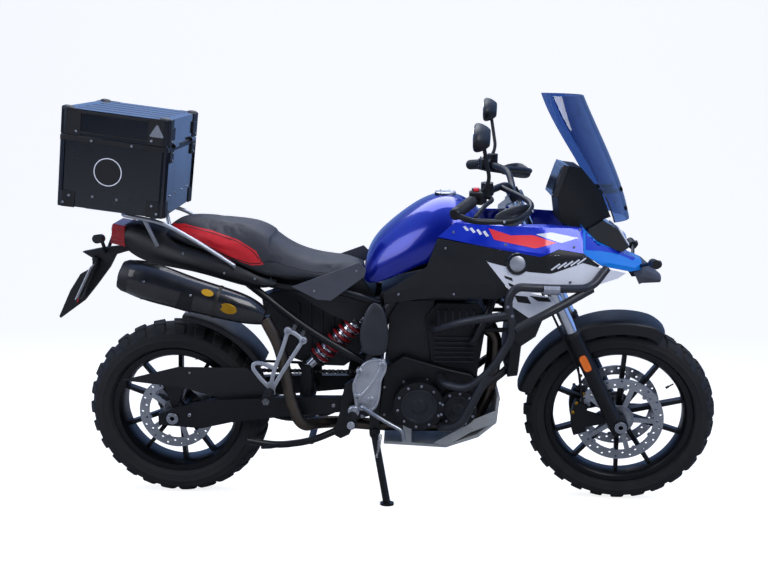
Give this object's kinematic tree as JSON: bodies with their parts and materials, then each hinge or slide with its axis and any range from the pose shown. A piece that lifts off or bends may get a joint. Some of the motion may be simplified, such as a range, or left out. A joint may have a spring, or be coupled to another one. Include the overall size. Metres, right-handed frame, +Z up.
{
  "type": "adventure motorcycle",
  "caption": "Two-wheeled adventure motorcycle with block-tread tyres, tall screen, crash bars, metal top box and hand guards, leaning on its side stand.",
  "frame": {"origin": "floor level under the middle of the parked machine's bounding box", "axes": "+X the way it drives, +Y to its left, +Z up from the floor; the machine itself leans 11 degrees to its right on its side stand"},
  "size_m": [2.303, 0.9211, 1.4475],
  "materials": {
    "tyre": "matt rubber",
    "black_wheel": "satin black",
    "disc_steel": "brushed",
    "steel": "satin",
    "cast_silver": "cast satin",
    "black_cast": "satin black",
    "frame_black": "satin black",
    "bar_grey": "satin dark grey",
    "blue_deep": "gloss metallic",
    "blue_light": "gloss",
    "white": "gloss",
    "black_plastic": "matt",
    "grey_plastic": "matt",
    "seat_vinyl": "matt vinyl",
    "rubber": "matt",
    "chain_steel": "oiled",
    "shell_black": "satin black",
    "tinted_glass": "tinted clear",
    "lamp_glass": "clear",
    "red_lens": "gloss",
    "screen_black": "gloss",
    "exhaust_dark": "satin",
    "mirror_black": "matt"
  },
  "bodies": {
    "chassis": {"main_frame": "frame_black", "rear_subframe": "frame_black", "crankcase": "black_cast", "cylinder_block": "black_cast", "engine_covers": "black_cast", "radiator": "black_cast", "skid_plate": "cast_silver", "swingarm": "frame_black", "rear_axle": "steel", "shock_absorber": "steel", "rear_guards": "black_plastic", "rear_caliper": "black_cast", "chain": "chain_steel", "front_sprocket": "steel", "silencer": "exhaust_dark", "exhaust_pipe": "exhaust_dark", "luggage_rack": "cast_silver", "box_body": "shell_black", "tail_lamp": "red_lens", "plate_holder": "black_plastic", "fuel_tank": "blue_deep", "fuel_cap": "black_cast", "passenger_seat": "seat_vinyl", "rider_seat": "seat_vinyl", "tail_cover": "black_plastic", "side_fairings": "blue_light", "knee_panels": "black_plastic", "lower_panels": "white", "headlamp": "lamp_glass", "beak": "blue_light", "grey_panels": "grey_plastic", "windscreen": "tinted_glass", "cockpit": "black_plastic", "display": "screen_black", "footrests": "cast_silver", "foot_levers": "steel", "guard_bars": "bar_grey", "indicators": "black_plastic"},
    "box_lid": {"box_lid": "shell_black"},
    "steering": {"fork_clamps": "black_cast", "fork_stanchions": "steel", "fork_sliders": "black_cast", "front_axle": "steel", "front_calipers": "black_cast", "front_fender": "black_plastic", "brake_hoses": "rubber", "handlebar": "frame_black", "grips": "rubber", "hand_guards": "black_plastic", "mirrors": "mirror_black", "hand_levers": "black_cast"},
    "front_wheel": {"front_tyre": "tyre", "front_rim": "black_wheel", "front_discs": "disc_steel"},
    "rear_wheel": {"rear_tyre": "tyre", "rear_rim": "black_wheel", "rear_disc": "disc_steel", "rear_sprocket": "steel"},
    "side_stand": {"side_stand": "frame_black"},
    "centre_stand": {"centre_stand": "frame_black"}
  },
  "joints": [
    {"name": "steering_turn", "type": "hinge", "parent": "chassis", "child": "steering", "pos_m": [0.78605, 0.17319, 0.30428], "axis": [-0.454, -0.17, 0.8746], "range_deg": [-33, 47]},
    {"name": "front_wheel_spin", "type": "hinge", "parent": "steering", "child": "front_wheel", "pos_m": [0.82319, 0.16455, 0.32188], "axis": [0.1086, 0.9638, 0.2437], "continuous": true},
    {"name": "rear_wheel_spin", "type": "hinge", "parent": "chassis", "child": "rear_wheel", "pos_m": [-0.73553, 0.17067, 0.3172], "axis": [0, 0.9816, 0.1908], "continuous": true},
    {"name": "side_stand_fold", "type": "hinge", "parent": "chassis", "child": "side_stand", "pos_m": [-0.03357, 0.03619, 0.25439], "axis": [0, 0.9816, 0.1908], "range_deg": [0, 85]},
    {"name": "centre_stand_fold", "type": "hinge", "parent": "chassis", "child": "centre_stand", "pos_m": [-0.15057, 0.17678, 0.28579], "axis": [0, 0.9816, 0.1908], "range_deg": [-95, 0]},
    {"name": "lid_hinge", "type": "hinge", "parent": "chassis", "child": "box_lid", "pos_m": [-0.68305, -0.00885, 1.24077], "axis": [0, 0.9816, 0.1908], "range_deg": [0, 85]}
  ]
}
